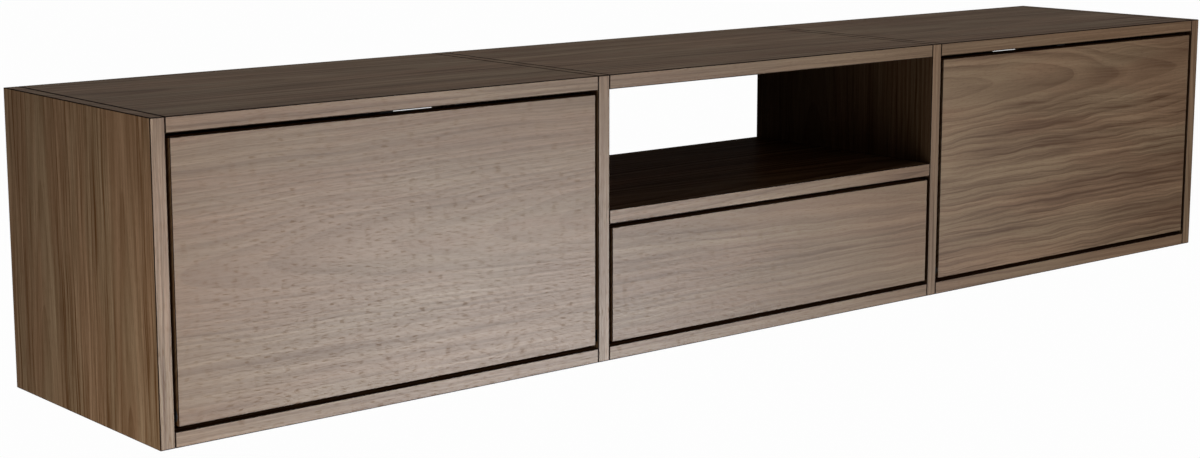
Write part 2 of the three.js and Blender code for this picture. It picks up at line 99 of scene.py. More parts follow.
def length(name, description, default):
    return FloatProperty(
        name=name, description=description, default=default, unit="LENGTH", precision=4
    )


def colour(name, description, default):
    return FloatVectorProperty(
        name=name, description=description, default=default, subtype="COLOR", size=3, min=0, max=1
    )


class ConsoleHardware(bpy.types.PropertyGroup):
    """Sizes of the small hardware, in metres."""

    plate_head: length(
        "Plate screw head", "Radius of the screws in the plates, brackets and latches", 0.0034
    )
    strike_rivet: length("Strike plate rivet", "Radius of the rivets in the strike plates", 0.0018)
    front_head: length("Front screw head", "Radius of the drawer front's pan heads", 0.0042)
    adjuster_head: length("Adjuster head", "Radius of the hangers' adjusting screws", 0.0036)
    cap_radius: length("Cap radius", "Radius of the caps over the knock-down fittings", 0.0085)
    cap_rise: length("Cap rise", "How far a cap stands off its board", 0.0008)
    cap_inset: length("Cap inset", "From a cap's middle to the upright", 0.034)
    cap_setback: length("Cap setback", "From a cap's middle to the front or back edge", 0.060)
    ball_radius: length("Ball radius", "Radius of the balls in the drawer runners", 0.0017)
    ball_pitch: length("Ball pitch", "From one runner ball to the next", 0.0085)
    ball_count: IntProperty(name="Balls", description="Balls in one row of a runner", default=11)


class ConsoleFinish(bpy.types.PropertyGroup):
    """Colours of the console's finishes."""

    walnut_dark: colour("Dark walnut", "Dark rings and streaks of veneer", (0.056, 0.021, 0.003))
    walnut_light: colour("Light walnut", "The pale wood between the rings", (0.199, 0.133, 0.076))
    walnut_warm: colour("Warm walnut", "Reddish patches in the veneer", (0.203, 0.123, 0.069))
    birch: colour("Birch", "The drawer box", (0.60, 0.45, 0.28))
    zinc: colour("Zinc plate", "Plates, channels, rails and hangers", (0.50, 0.51, 0.52))
    # Painted shade: the pivot plates sit in the gaps beside the flaps and are made near black so that they show as
    # shade there
    black_zinc: colour("Black zinc", "Pivot plates", (0.030, 0.030, 0.031))
    black: colour("Black plastic", "Latch housings and pivot bushes", (0.028, 0.028, 0.030))
    paint: colour("Damper paint", "The dampers' bodies and glands", (0.030, 0.030, 0.033))
    nylon: colour("Nylon", "The latches' plungers", (0.62, 0.60, 0.55))
    cap: colour("Cap brown", "Caps over the knock-down fittings", (0.085, 0.052, 0.032))


class ConsoleStage(bpy.types.PropertyGroup):
    """The studio round the console."""

    floor_drop: length("Floor drop", "From the console's underside to the floor", 2.2)
    floor_size: length("Floor size", "Length of the floor's sides", 160.0)
    ambient: FloatProperty(
        name="Ambient", description="Light from the room, where 1 is white", default=0.11
    )
    lens: FloatProperty(
        name="Lens",
        description="Focal length, in millimetres",
        default=64.8,
        subtype="DISTANCE_CAMERA",
    )
    shift: FloatProperty(
        name="Shift", description="Vertical shift, in image widths", default=-1 / 30
    )


# Shader maths

class Value:
    """A node socket that adds Math nodes when it is used in an expression."""

    def __init__(self, shader, socket):
        self.shader = shader
        self.socket = socket

    def out(self, name):
        return Value(self.shader, self.socket.node.outputs[name])

    def _math(self, operation, first, second):
        return self.shader.node("Math", {"operation": operation}, {0: first, 1: second})

    def __add__(self, other):
        return self._math("ADD", self, other)

    def __sub__(self, other):
        return self._math("SUBTRACT", self, other)

    def __rsub__(self, other):
        return self._math("SUBTRACT", other, self)

    def __mul__(self, other):
        return self._math("MULTIPLY", self, other)

    def __truediv__(self, other):
        return self._math("DIVIDE", self, other)

    def __rtruediv__(self, other):
        return self._math("DIVIDE", other, self)

    __radd__ = __add__
    __rmul__ = __mul__


class Shader:
    """Builds the nodes of one material or of the world."""

    def __init__(self, tree):
        self.tree = tree
        tree.nodes.clear()

    def node(self, kind, settings=None, inputs=None, output=0):
        """Adds a node: first its settings, then the values or links of its sockets."""
        node = self.tree.nodes.new("ShaderNode" + kind)
        for name, value in (settings or {}).items():
            setattr(node, name, value)
        for key, value in (inputs or {}).items():
            if isinstance(value, Value):
                self.tree.links.new(value.socket, node.inputs[key])
            else:
                node.inputs[key].default_value = value
        return Value(self, node.outputs[output] if len(node.outputs) else None)

    def place(self):
        """A place on the object in metres, as it lies at rest."""
        return self.node("TexCoord", output="Object")

    def parts(self, vector):
        return self.node("SeparateXYZ", inputs={0: vector})

    def stretched(self, place, *factors):
        """A place times one number, or times one for each axis."""
        factors = factors if len(factors) == 3 else factors * 3
        return self.node("VectorMath", {"operation": "MULTIPLY"}, {0: place, 1: factors})

    def noise(self, place, detail=2.0, roughness=0.5, space="3D"):
        socket = "W" if space == "1D" else "Vector"
        return self.node(
            "TexNoise",
            {"noise_dimensions": space},
            {socket: place, "Scale": 1.0, "Detail": detail, "Roughness": roughness},
        )

    def plane_noise(self, x, y, detail=2.0, roughness=0.5):
        """Noise over two numbers."""
        point = self.node("CombineXYZ", inputs={0: x, 1: y, 2: 0.0})
        return self.noise(point, detail, roughness, "2D")

    def function(self, operation, *values):
        return self.node("Math", {"operation": operation}, dict(enumerate(values)))

    def fade(self, value, start, end):
        """0 at start and 1 at end, smoothly."""
        return self.node(
            "MapRange",
            {"interpolation_type": "SMOOTHSTEP"},
            {"Value": value, "From Min": start, "From Max": end},
        )

    def mix(self, share, first, second):
        """A mix of two colours."""
        colours = {0: share, 6: solid(first), 7: solid(second)}
        return self.node("Mix", {"data_type": "RGBA"}, colours, output=2)

    def bump(self, height, depth, strength):
        return self.node("Bump", inputs={"Height": height, "Distance": depth, "Strength": strength})

    def show(self, surface):
        self.node("OutputMaterial", inputs={"Surface": surface})


WHITE = (1.0, 1.0, 1.0, 1.0)


def solid(shade):
    """A colour as a socket takes it: three numbers get a fourth."""
    return shade if isinstance(shade, Value) else (*shade, 1.0)


def dimmed(shade, share):
    return [channel * share for channel in shade]


def new_material(name):
    material = bpy.data.materials.new(name)
    material.use_nodes = True
    return material, Shader(material.node_tree)


def finish_with(material, node):
    """Gives a CAD node one material in all its slots."""
    slots = frame["nodes"][node].data.materials
    slots.clear()
    slots.append(material)


# Wood

LACQUER_ROUGHNESS = 0.32
BARE_ROUGHNESS = 0.6  # the wood under the lacquer
RING_PITCH = 0.0090
EDGE_DARK = 0.0005  # the eased edges are dark this far from the corner
EDGE_FADE = 0.0011  # and plain wood from here on
TOP_SEAM = 1.7  # how much wider the dark edges are on faces that look up
TOP_LIVELINESS = 1.1  # extra contrast of the grain on faces that look up
FACES_FROM = 0.4  # a face starts to count for an axis at this share of its normal
FACES_FULLY = 0.7
# Painted shade: the near-black brown that darkens the niche's inside, where little light reaches
NICHE_SHADE_BROWN = (0.008, 0.003, 0.002)
EDGE_BROWN = (0.010, 0.005, 0.003)

# How far each kind of figure reaches along the grain and across it
DRIFT = (0.42, 0.15)
WAVE = (0.11, 0.045)
CLOUD = (0.34, 0.045)
FIGURE = (0.25, 0.050)
HUE = (0.40, 0.050)
FIBRE = (0.16, 0.0028)
GRAIN = (0.30, 0.0080)
PORE = (0.013, 0.0011)

# Distances from a cathedral's middle between which its arcs straighten and its plain wood ends
STRAIGHTENS = (0.03, 0.12)
PLAIN_ENDS = (0.018, 0.055)

MIDDLE_TONE = 0.51  # of the wood, from 0 in the darkest to 1 in the palest
LATE_WOOD = (0.35, 0.92)  # shares of a ring's width between which it darkens
PORE_STARTS = (0.56, 0.72)  # heights of the noise between which a pore starts
WARM_STARTS = (0.36, 0.64)  # and a reddish patch


class Leaf(NamedTuple):
    """How a veneer leaf was sliced from its log. Lengths are in metres."""

    seed: float
    crown: float = 0.0  # middle of the cathedral figure, across the board from its middle
    second: float = 9.0  # middle of a second one, if it is on the board
    heart: float = 0.054  # from the leaf to the log's heart
    taper: float = 0.06  # slope of the rings along the board; its sign turns the cathedral round
    tip: float = 0.0  # where the cathedral starts, along the board from its middle
    wander: float = 0.014  # how far the rings stray
    ripple: float = 0.004  # how far they wave over a short length
    lightness: float = 0.0
    painted_light_slope: float = 0.0  # painted light and shade: how much lighter the board is made over a metre along the grain, following how the light falls across the fronts
    niche_shade: float = 0.0  # share of painted shade for the dim niche, on faces that look sideways
    top_niche_shade: float = 0.0  # and on those that look up
    contrast: float = 1.0
    streak: float = 1.0  # contrast of the fine lines along the grain
    zones: float = 1.0  # contrast of the broad light and dark parts
    seam: float = 0.4  # how much wider the dark edges are on faces that look forward
    front_sheen: float = 0.0157  # share of the light mirrored by faces that look forward
    top_sheen: float = 0.036  # by those that look up
    sheen: float = 0.006  # and by the rest


def board_place(shader, node, along, across):
    """Values along the grain, across the leaf and through it, from the board's middle."""
    parts = shader.parts(shader.place())
    centre = middle(node)
    through = ({"X", "Y", "Z"} - {along, across}).pop()
    return [parts.out(axis) - centre[AXES.index(axis)] for axis in (along, across, through)]


def edge_line(shader, node, widening):
    """1 on a board's eased edges, and 0 on its faces."""
    parts = shader.parts(shader.place())
    centre = middle(node)
    half = (high(node) - low(node)) / 2
    x, y, z = (
        half[index] - shader.function("ABSOLUTE", parts.out(axis) - centre[index])
        for index, axis in enumerate(AXES)
    )
    smaller = shader.function("MINIMUM", x, y)
    larger = shader.function("MAXIMUM", x, y)
    second = shader.function("MAXIMUM", smaller, shader.function("MINIMUM", larger, z))
    return 1.0 - shader.fade(second / widening, EDGE_DARK, EDGE_FADE)


def walnut(node, along, across, leaf, finish):
    """Satin lacquered walnut veneer on one board."""
    material, shader = new_material(f"walnut_{node}")
    u, v, w = board_place(shader, node, along, across)

    seed = leaf.seed
    drift = shader.plane_noise(u / DRIFT[0] + seed, (v + w) / DRIFT[1], 2.0, 0.45)
    wave = shader.plane_noise(u / WAVE[0], (v + w) / WAVE[1] + seed)
    across_grain = v + w + (drift - 0.5) * leaf.wander + (wave - 0.5) * leaf.ripple
    off_crown = shader.function(
        "MINIMUM",
        shader.function("ABSOLUTE", across_grain - leaf.crown),
        shader.function("ABSOLUTE", across_grain - leaf.second),
    )
    radius = shader.function("SQRT", off_crown * off_crown + leaf.heart**2)
    straight = shader.fade(off_crown, *STRAIGHTENS)
    slope = (u - leaf.tip) * leaf.taper * (1.0 - straight * 0.8)
    rings = radius + slope + (drift - 0.5) * leaf.wander
    plain = 1.0 - shader.fade(off_crown, *PLAIN_ENDS)

    cloud = shader.plane_noise(u / CLOUD[0] + seed, across_grain / CLOUD[1], 2.0, 0.55)
    figure = shader.plane_noise(u / FIGURE[0] + seed * 2, across_grain / FIGURE[1], 1.0)
    hue = shader.plane_noise(u / HUE[0], across_grain / HUE[1] + seed * 3)
    band = shader.noise(rings / (RING_PITCH * 1.2) + seed, 4.0, 0.66, "1D")
    saw = shader.function("FRACT", rings / RING_PITCH + seed + (band - 0.5) * 1.2)
    late = shader.fade(saw, *LATE_WOOD) * (1.0 - shader.fade(saw, LATE_WOOD[1], 1.0))
    fibre = shader.plane_noise(u / FIBRE[0], across_grain / FIBRE[1] + seed, 3.0, 0.65)
    grain = shader.plane_noise(u / GRAIN[0] + seed, across_grain / GRAIN[1])
    speck = shader.plane_noise(u / PORE[0] + seed, across_grain / PORE[1], 1.0)
    pore = shader.fade(speck, *PORE_STARTS)
    facing = shader.parts(shader.node("TexCoord", output="Normal"))
    front = shader.fade(facing.out("Y"), -FACES_FROM, -FACES_FULLY)
    upper = shader.fade(facing.out("Z"), FACES_FROM, FACES_FULLY)
    sideways = shader.fade(shader.function("ABSOLUTE", facing.out("X")), FACES_FROM, FACES_FULLY)

    lively = 1.0 + upper * TOP_LIVELINESS
    figured = (1.0 - plain * 0.3) * leaf.contrast * lively
    streaked = (1.0 - plain * 0.6) * leaf.streak * lively
    tone = (
        MIDDLE_TONE
        + leaf.lightness
        # painted light and shade along the board
        + u * leaf.painted_light_slope
        + (band - 0.5) * (0.45 + figure) * figured
        - (late - 0.28) * 0.24 * figured
        + (fibre - 0.5) * 0.75 * streaked
        + (grain - 0.5) * 0.50 * streaked
        + ((cloud - 0.5) * 0.60 + plain * 0.07) * leaf.zones * lively
    )
    tone = shader.node("Clamp", inputs={"Value": tone})
    warm = shader.fade(hue, *WARM_STARTS)
    pale = shader.mix(warm, finish.walnut_light, finish.walnut_warm)
    wood = shader.mix(tone, finish.walnut_dark, pale)
    wood = shader.mix(pore * 0.22, wood, finish.walnut_dark)
    # Painted shade: faces inside the niche are mixed towards near black
    niche_shade = sideways * leaf.niche_shade + upper * leaf.top_niche_shade
    wood = shader.mix(niche_shade, wood, NICHE_SHADE_BROWN)
    edge = edge_line(shader, node, 1.0 + upper * TOP_SEAM + front * leaf.seam)
    wood = shader.mix(edge, wood, EDGE_BROWN)

    normal = shader.bump(fibre * 0.5 - pore * 0.5, 0.0001, 0.15)
    gloss = LACQUER_ROUGHNESS + pore * 0.14 + (1.0 - tone) * 0.05
    body = shader.node(
        "BsdfPrincipled",
        inputs={
            "Base Color": wood,
            "Roughness": BARE_ROUGHNESS,
            "Specular IOR Level": 0.0,
            "Normal": normal,
        },
    )
    film = shader.node(
        "BsdfAnisotropic", inputs={"Color": WHITE, "Roughness": gloss, "Normal": normal}
    )
    front_share = front * (leaf.front_sheen - leaf.sheen)
    top_share = upper * (leaf.top_sheen - leaf.sheen)
    sheen = front_share + top_share + leaf.sheen
    sheen = sheen * (1.0 - edge * 0.9) * (1.0 + (fibre - 0.5) * 0.16 - pore * 0.06)
    shader.show(shader.node("MixShader", inputs={0: sheen, 1: body, 2: film}))
    return material


# Finishes of the hardware and the drawer box

PLY = 0.0015
FACE_PLY_ENDS = (0.0006, 0.0003)  # depths between which the face's grain gives way to the plies
BIRCH_ALONG = 3.0  # figures of the grain in a metre along it
BIRCH_ACROSS = 260.0


def birch_ply(node, through, finish):
    """Clear lacquered birch plywood: fine grain on the faces, and its plies on the edges."""
    material, shader = new_material(f"birch_{node}")
    place = shader.place()
    index = AXES.index(through)
    depth = shader.parts(place).out(through) - middle(node)[index]
    half = (high(node) - low(node))[index] / 2
    on_face = shader.fade(half - shader.function("ABSOLUTE", depth), *FACE_PLY_ENDS)
    along = "Y" if through == "X" else "X"
    factors = [BIRCH_ALONG if axis == along else BIRCH_ACROSS for axis in AXES]
    fine = shader.stretched(place, *factors)
    grain = shader.noise(fine, 4.0, 0.6)
    broad = shader.noise(shader.stretched(fine, 0.25, 0.12, 0.12))
    ply = shader.fade(shader.function("PINGPONG", depth / PLY, 1.0), 0.35, 0.65)
    pale = shader.mix(grain * 0.5 + broad * 0.4, finish.birch, dimmed(finish.birch, 0.78))
    edge = shader.mix(ply, dimmed(finish.birch, 0.52), dimmed(finish.birch, 0.95))
    shown = shader.mix(on_face, edge, pale)
    body = shader.node(
        "BsdfPrincipled",
        inputs={
            "Base Color": shown,
            "Roughness": 0.42 + grain * 0.15,
            "Specular IOR Level": 0.3,
            "Normal": shader.bump(grain, 0.0002, 0.4),
        },
    )
    shader.show(body)
    return material


def plated_steel(name, shade):
    """Plated steel: a fine rolled grain and a cloudy plating."""
    _, shader = new_material(name)
    place = shader.place()
    grain = shader.noise(shader.stretched(place, 900.0, 60.0, 900.0))
    cloud = shader.noise(shader.stretched(place, 70.0), 3.0)
    shown = shader.mix(cloud * 0.6, shade, dimmed(shade, 0.79))
    shown = shader.mix(grain * 0.25, shown, dimmed(shade, 0.62))
    body = shader.node(
        "BsdfPrincipled",
        inputs={
            "Base Color": shown,
            "Metallic": 1.0,
            "Roughness": 0.24 + cloud * 0.16 + grain * 0.06,
            "Normal": shader.bump(grain, 0.00005, 0.3),
        },
    )
    shader.show(body)


def moulded(name, shade, roughness, grain_size, depth):
    """Plastic with the fine grain of its mould, or paint with a fine orange peel."""
    _, shader = new_material(name)
    place = shader.place()
    grain = shader.noise(shader.stretched(place, 1 / grain_size), 2.0, 0.6)
    patch = shader.noise(shader.stretched(place, 45.0))
    shown = shader.mix(patch * 0.5, shade, dimmed(shade, 0.82))
    body = shader.node(
        "BsdfPrincipled",
        inputs={
            "Base Color": shown,
            "Roughness": roughness + (grain - 0.5) * 0.15,
            "Specular IOR Level": 0.4,
            "Normal": shader.bump(grain, depth, 0.5),
        },
    )
    shader.show(body)


CHROME_PALE = (0.60, 0.61, 0.62)
CHROME_DARK = (0.52, 0.53, 0.55)


def polished_rod():
    """Hard chrome with faint drawn lines."""
    _, shader = new_material("polished_rod")
    lines = shader.noise(shader.stretched(shader.place(), 2500.0, 300.0, 300.0))
    body = shader.node(
        "BsdfPrincipled",
        inputs={
            "Base Color": shader.mix(lines, CHROME_PALE, CHROME_DARK),
            "Metallic": 1.0,
            "Roughness": 0.10 + lines * 0.08,
        },
    )
    shader.show(body)


# Mesh building

ROUND_STEPS = 28
SHARP_ANGLE = math.radians(32)


def ring(bm, radius, height, dip=0.0, steps=ROUND_STEPS):
    """Corners round the middle, with every second one nearer to it by the dip."""
    corners = []
    for step in range(steps):
        reach = radius - dip * (step % 2)
        angle = 2 * math.pi * step / steps
        corners.append(bm.verts.new((reach * math.cos(angle), reach * math.sin(angle), height)))
    return corners


def wall(bm, lower, upper):
    """Faces between two rings of as many corners."""
    for index in range(len(lower)):
        bm.faces.new((lower[index - 1], lower[index], upper[index], upper[index - 1]))


def turned(bm, profile):
    """A turned form from pairs of radius and height, with its open first and last rings."""
    rings = [ring(bm, radius, height) for radius, height in profile]
    for lower, upper in zip(rings, rings[1:]):
        wall(bm, lower, upper)
    return rings[0], rings[-1]


def hoop(bm, outline, steps=ROUND_STEPS):
    """A closed form with a hole in its middle, from its rings' radii, heights and dips."""
    rings = [ring(bm, *corner, steps=steps) for corner in outline]
    for index in range(len(rings)):
        wall(bm, rings[index - 1], rings[index])


def fill_between(bm, outer, inner):
    """Flat faces between a ring and an outline inside it."""
    edges = []
    for loop in (outer, inner):
        for index in range(len(loop)):
            pair = (loop[index - 1], loop[index])
            edges.append(bm.edges.get(pair) or bm.edges.new(pair))
    bmesh.ops.triangle_fill(bm, use_beauty=True, edges=edges)


def cross_outline(bm, reach, half_width, height):
    """The twelve corners of a cross-shaped recess."""
    arm = [(reach, -half_width), (reach, half_width), (half_width, half_width)]
    corners = []
    for quarter in range(4):
        for x, y in arm:
            for _ in range(quarter):
                x, y = -y, x
            corners.append(bm.verts.new((x, y, height)))
    return corners


def screw_head(bm, radius, rise):
    """A low domed head with a cross recess, standing on the plane of its own seat."""
    outer, rim = turned(
        bm,
        [(radius, 0.0), (radius, rise * 0.35), (radius * 0.88, rise * 0.8), (radius * 0.66, rise)],
    )
    bm.faces.new(list(reversed(outer)))
    mouth = cross_outline(bm, radius * 0.52, radius * 0.13, rise)
    fill_between(bm, rim, mouth)
    floor = cross_outline(bm, radius * 0.36, radius * 0.10, rise * 0.3)
    wall(bm, mouth, floor)
    bm.faces.new(floor)


def on_surface(centre, out):
    """The transform that stands a piece at a point of a surface, facing out."""
    return Matrix.Translation(centre) @ Vector(out).to_track_quat("Z", "Y").to_matrix().to_4x4()


def built_mesh(name, build):
    """The mesh of one form, with its faces turned outwards."""
    bm = bmesh.new()
    build(bm)
    bmesh.ops.recalc_face_normals(bm, faces=bm.faces)
    mesh = bpy.data.meshes.new(name)
    bm.to_mesh(mesh)
    bm.free()
    return mesh


def add_piece(name, build, places, finish, body):
    """One object that holds a form at each place and rides on a body."""
    form = built_mesh(f"{name}_form", build)
    copies = bmesh.new()
    for place in places:
        copy = form.copy()
        copy.transform(place)
        copies.from_mesh(copy)
        bpy.data.meshes.remove(copy)
    bpy.data.meshes.remove(form)
    mesh = bpy.data.meshes.new(name)
    copies.to_mesh(mesh)
    copies.free()
    mesh.shade_smooth()
    mesh.set_sharp_from_angle(angle=SHARP_ANGLE)
    piece = bpy.data.objects.new(name, mesh)
    bpy.context.scene.collection.objects.link(piece)
    mesh.materials.append(bpy.data.materials[finish])
    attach(piece, body)


# Operators

FRONT_LEAVES = {
    "flap_left": Leaf(
        3.1, taper=-0.070, tip=-0.56, lightness=-0.08, painted_light_slope=0.12,
        contrast=0.50, streak=0.65, zones=0.5, seam=0.0,
    ),
    "flap_right": Leaf(
        11.7, crown=0.110, heart=0.045, taper=0.048, tip=-0.30, wander=0.016, ripple=0.011,
        lightness=-0.02, painted_light_slope=-0.42, contrast=1.15, streak=1.4, zones=1.6, seam=0.0,
    ),
    "drawer_front": Leaf(
        7.4, crown=0.085, taper=-0.035, tip=0.1, ripple=0.008, lightness=-0.04,
        painted_light_slope=0.40, contrast=0.65, streak=0.75, zones=0.7, seam=0.0,
    ),
}


class CONSOLE_OT_finish_fronts(bpy.types.Operator):
    """Veneers the two flaps and the drawer front"""

    bl_idname = "console.finish_fronts"
    bl_label = "Finish fronts"

    def execute(self, context):
        for node, leaf in FRONT_LEAVES.items():
            material = walnut(node, "X", "Z", leaf, context.scene.console_finish)
            finish_with(material, node)
        return {"FINISHED"}


UPRIGHT_LEAVES = {
    "side_panel_left": Leaf(
        21.3, crown=0.086, second=-0.124, heart=0.030, taper=0.04, tip=0.03, wander=0.009,
        contrast=1.05, streak=2.0, zones=1.1, sheen=0.009,
    ),
    "divider_left": Leaf(24.9, crown=0.30, sheen=0.001),
    # The right divider's sideways faces carry painted shade for the niche's dim wall
    "divider_right": Leaf(28.2, crown=0.05, niche_shade=0.55, streak=1.3, sheen=0.001),
    "side_panel_right": Leaf(
        33.6, crown=0.040, second=-0.15, heart=0.030, taper=-0.06, tip=-0.05,
        contrast=1.5, streak=1.7, zones=1.4,
    ),
}


class CONSOLE_OT_finish_uprights(bpy.types.Operator):
    """Veneers the side panels and the dividers, with the grain upright"""

    bl_idname = "console.finish_uprights"
    bl_label = "Finish uprights"

    def execute(self, context):
        for node, leaf in UPRIGHT_LEAVES.items():
            material = walnut(node, "Z", "Y", leaf, context.scene.console_finish)
            finish_with(material, node)
        return {"FINISHED"}


LEVEL_BOARDS = (
    "top_panel_left",
    "top_panel_centre",
    "top_panel_right",
    "bottom_panel_left",
    "bottom_panel_centre",
    "bottom_panel_right",
    "niche_shelf",
)
LEVEL_SHEEN = {"top": 0.036, "bottom": 0.003, "niche": 0.0045}  # on the boards' upper faces
INSIDE_SHEEN = 0.003  # on their lower ones


class CONSOLE_OT_finish_level_boards(bpy.types.Operator):
    """Veneers the tops, the bottoms and the shelf, with the grain along the console"""

    bl_idname = "console.finish_level_boards"
    bl_label = "Finish level boards"

    def execute(self, context):
        for index, node in enumerate(LEVEL_BOARDS):
            leaf = Leaf(
                41.0 + 5.3 * index,
                crown=0.05 - 0.03 * index,
                taper=0.05 * (-1) ** index,
                # painted shade on the niche shelf's upper face
                top_niche_shade=0.35 if node == "niche_shelf" else 0.0,
                contrast=0.75,
                streak=0.85,
                zones=0.8,
                sheen=INSIDE_SHEEN,
                top_sheen=LEVEL_SHEEN[node.split("_")[0]],
            )
            material = walnut(node, "X", "Y", leaf, context.scene.console_finish)
            finish_with(material, node)
        return {"FINISHED"}


BACK_BOARDS = ("back_board_left", "back_board_centre", "back_board_right")


class CONSOLE_OT_finish_backs(bpy.types.Operator):
    """Veneers the back boards"""

    bl_idname = "console.finish_backs"
    bl_label = "Finish back boards"

    def execute(self, context):
        for index, node in enumerate(BACK_BOARDS):
            leaf = Leaf(81.0 + 4.7 * index, crown=0.04 * (index - 1), front_sheen=0.005)
            material = walnut(node, "X", "Z", leaf, context.scene.console_finish)
            finish_with(material, node)
        return {"FINISHED"}


DRAWER_BOARDS = {
    "drawer_side_left": "X",
    "drawer_side_right": "X",
    "drawer_inner_front": "Y",
    "drawer_back": "Y",
    "drawer_bottom": "Z",
}


class CONSOLE_OT_finish_drawer_box(bpy.types.Operator):
    """Makes the drawer box birch plywood"""

    bl_idname = "console.finish_drawer_box"
    bl_label = "Finish drawer box"

    def execute(self, context):
        for node, through in DRAWER_BOARDS.items():
            finish_with(birch_ply(node, through, context.scene.console_finish), node)
        return {"FINISHED"}


FITTING_SLOTS = {
    "zinc_steel": "zinc_plate",
    "dark_plastic": "black_plastic",
    "damper_paint": "damper_paint",
    "pale_nylon": "nylon",
    "bright_rod": "polished_rod",
}
# Painted shade: the pivot plates and bushes in the flaps' gaps are made black instead of zinc and nylon, so that
# the gaps show dark
GAP_SHADE_FINISHES = {"pivot_plate": "black_zinc", "pivot_bush": "black_plastic"}

# Each one's colour, its roughness, and how wide and how deep its grain is
MOULDINGS = {
    "black_plastic": ("black", 0.48, 0.0006, 0.0001),
    "damper_paint": ("paint", 0.34, 0.0012, 0.00005),
    "nylon": ("nylon", 0.40, 0.0010, 0.00006),
    "cap_plastic": ("cap", 0.46, 0.0005, 0.00008),
}


class CONSOLE_OT_finish_fittings(bpy.types.Operator):
    """Finishes the metal and plastic fittings"""

    bl_idname = "console.finish_fittings"
    bl_label = "Finish fittings"

    def execute(self, context):
        finish = context.scene.console_finish
        plated_steel("zinc_plate", finish.zinc)
        plated_steel("black_zinc", finish.black_zinc)
        polished_rod()
        for name, (shade, roughness, grain_size, depth) in MOULDINGS.items():
            moulded(name, getattr(finish, shade), roughness, grain_size, depth)
        for part in frame["record"]["subparts"]:
            name = FITTING_SLOTS.get(part["material_slot"])
            name = GAP_SHADE_FINISHES.get(part["node"].rsplit("_", 2)[0], name)
            if name:
                finish_with(bpy.data.materials[name], part["node"])
        return {"FINISHED"}


PLATE_HEAD_RISE = 0.0009
PLATE_SCREW_PITCH = 0.010  # from a plate's pin to its first screw, and on to the next
ANCHOR_GAUGE = 0.002


class CONSOLE_OT_add_plate_screws(bpy.types.Operator):
    """Adds the screws in the pivot plates and the damper anchors"""

    bl_idname = "console.add_plate_screws"
    bl_label = "Add plate screws"

    def execute(self, context):
        radius = context.scene.console_hardware.plate_head
        places = []
        for side, sign in SIDES:
            pivot = joint_place(f"{side}_flap_hinge")
            for node, out in ((f"side_panel_{side}", -sign), (f"divider_{side}", sign)):
                for step in (1, 2):
                    centre = (side_face(node, out), pivot.y + step * PLATE_SCREW_PITCH, pivot.z)
                    places.append(on_surface(centre, (out, 0, 0)))
            anchor = joint_place(f"{side}_damper_body_pivot")
            face = side_face(f"damper_anchor_{side}", sign) - sign * ANCHOR_GAUGE
            for step in (-1, 1):
                centre = (face, anchor.y + step * PLATE_SCREW_PITCH, anchor.z)
                places.append(on_surface(centre, (-sign, 0, 0)))
        add_piece(
            "plate_screws",
            lambda bm: screw_head(bm, radius, PLATE_HEAD_RISE),
            places,
            # the screws share the pivot plates' dark zinc, darkened as painted shade
            "black_zinc",
            "carcase",
        )
        return {"FINISHED"}


BRACKET_GAUGE = 0.002
BRACKET_SCREW_REACH = 0.007  # from the bracket's middle up or down to a screw
BRACKET_FOOT_MIDDLE = 0.008  # from the foot's free edge to its screws
RIVET_REACH = 0.008  # from a strike plate's middle to a rivet
RIVET_RISE = 0.0005


class CONSOLE_OT_add_flap_screws(bpy.types.Operator):
    """Adds the screws in the damper brackets and the rivets in the strike plates"""

    bl_idname = "console.add_flap_screws"
    bl_label = "Add flap screws"

    def execute(self, context):
        hardware = context.scene.console_hardware
        for side, sign in SIDES:
            bracket = f"damper_bracket_{side}"
            x = side_face(bracket, -sign) + sign * BRACKET_FOOT_MIDDLE
            y = low(bracket).y + BRACKET_GAUGE
            z = middle(bracket).z
            add_piece(
                f"bracket_screws_{side}",
                lambda bm: screw_head(bm, hardware.plate_head, PLATE_HEAD_RISE),
                [on_surface((x, y, z + step * BRACKET_SCREW_REACH), (0, 1, 0)) for step in (-1, 1)],
                "zinc_plate",
                f"{side}_flap",
            )
            strike = middle(f"strike_plate_{side}")
            face = high(f"strike_plate_{side}").y
            add_piece(
                f"strike_rivets_{side}",
                lambda bm: screw_head(bm, hardware.strike_rivet, RIVET_RISE),
                [
                    on_surface((strike.x + step * RIVET_REACH, face, strike.z), (0, 1, 0))
                    for step in (-1, 1)
                ],
                "zinc_plate",
                f"{side}_flap",
            )
        return {"FINISHED"}


LUG_REACH = 0.014  # from a latch's middle to the screws in its lugs
LUG_SETBACK = 0.0085  # from the housing's back end to those screws
LUG_THICKNESS = 0.0025


class CONSOLE_OT_add_latch_screws(bpy.types.Operator):
    """Adds the screws that hold the push latches"""

    bl_idname = "console.add_latch_screws"
    bl_label = "Add latch screws"

    def execute(self, context):
        radius = context.scene.console_hardware.plate_head
        places = []
        for name, up in (("left", -1), ("right", -1), ("drawer", 1)):
            housing = f"latch_housing_{name}"
            x = middle(housing).x
            y = high(housing).y - LUG_SETBACK
            z = (low(housing) if up > 0 else high(housing)).z + up * LUG_THICKNESS
            for step in (-1, 1):
                places.append(on_surface((x + step * LUG_REACH, y, z), (0, 0, up)))
        add_piece(
            "latch_screws",
            lambda bm: screw_head(bm, radius, PLATE_HEAD_RISE),
            places,
            "zinc_plate",
            "carcase",
        )
        return {"FINISHED"}


ADJUSTER_PITCH = 0.018
ADJUSTER_SINK = 0.0022  # the screw's head lies this far inside its hole
ADJUSTER_RISE = 0.0016


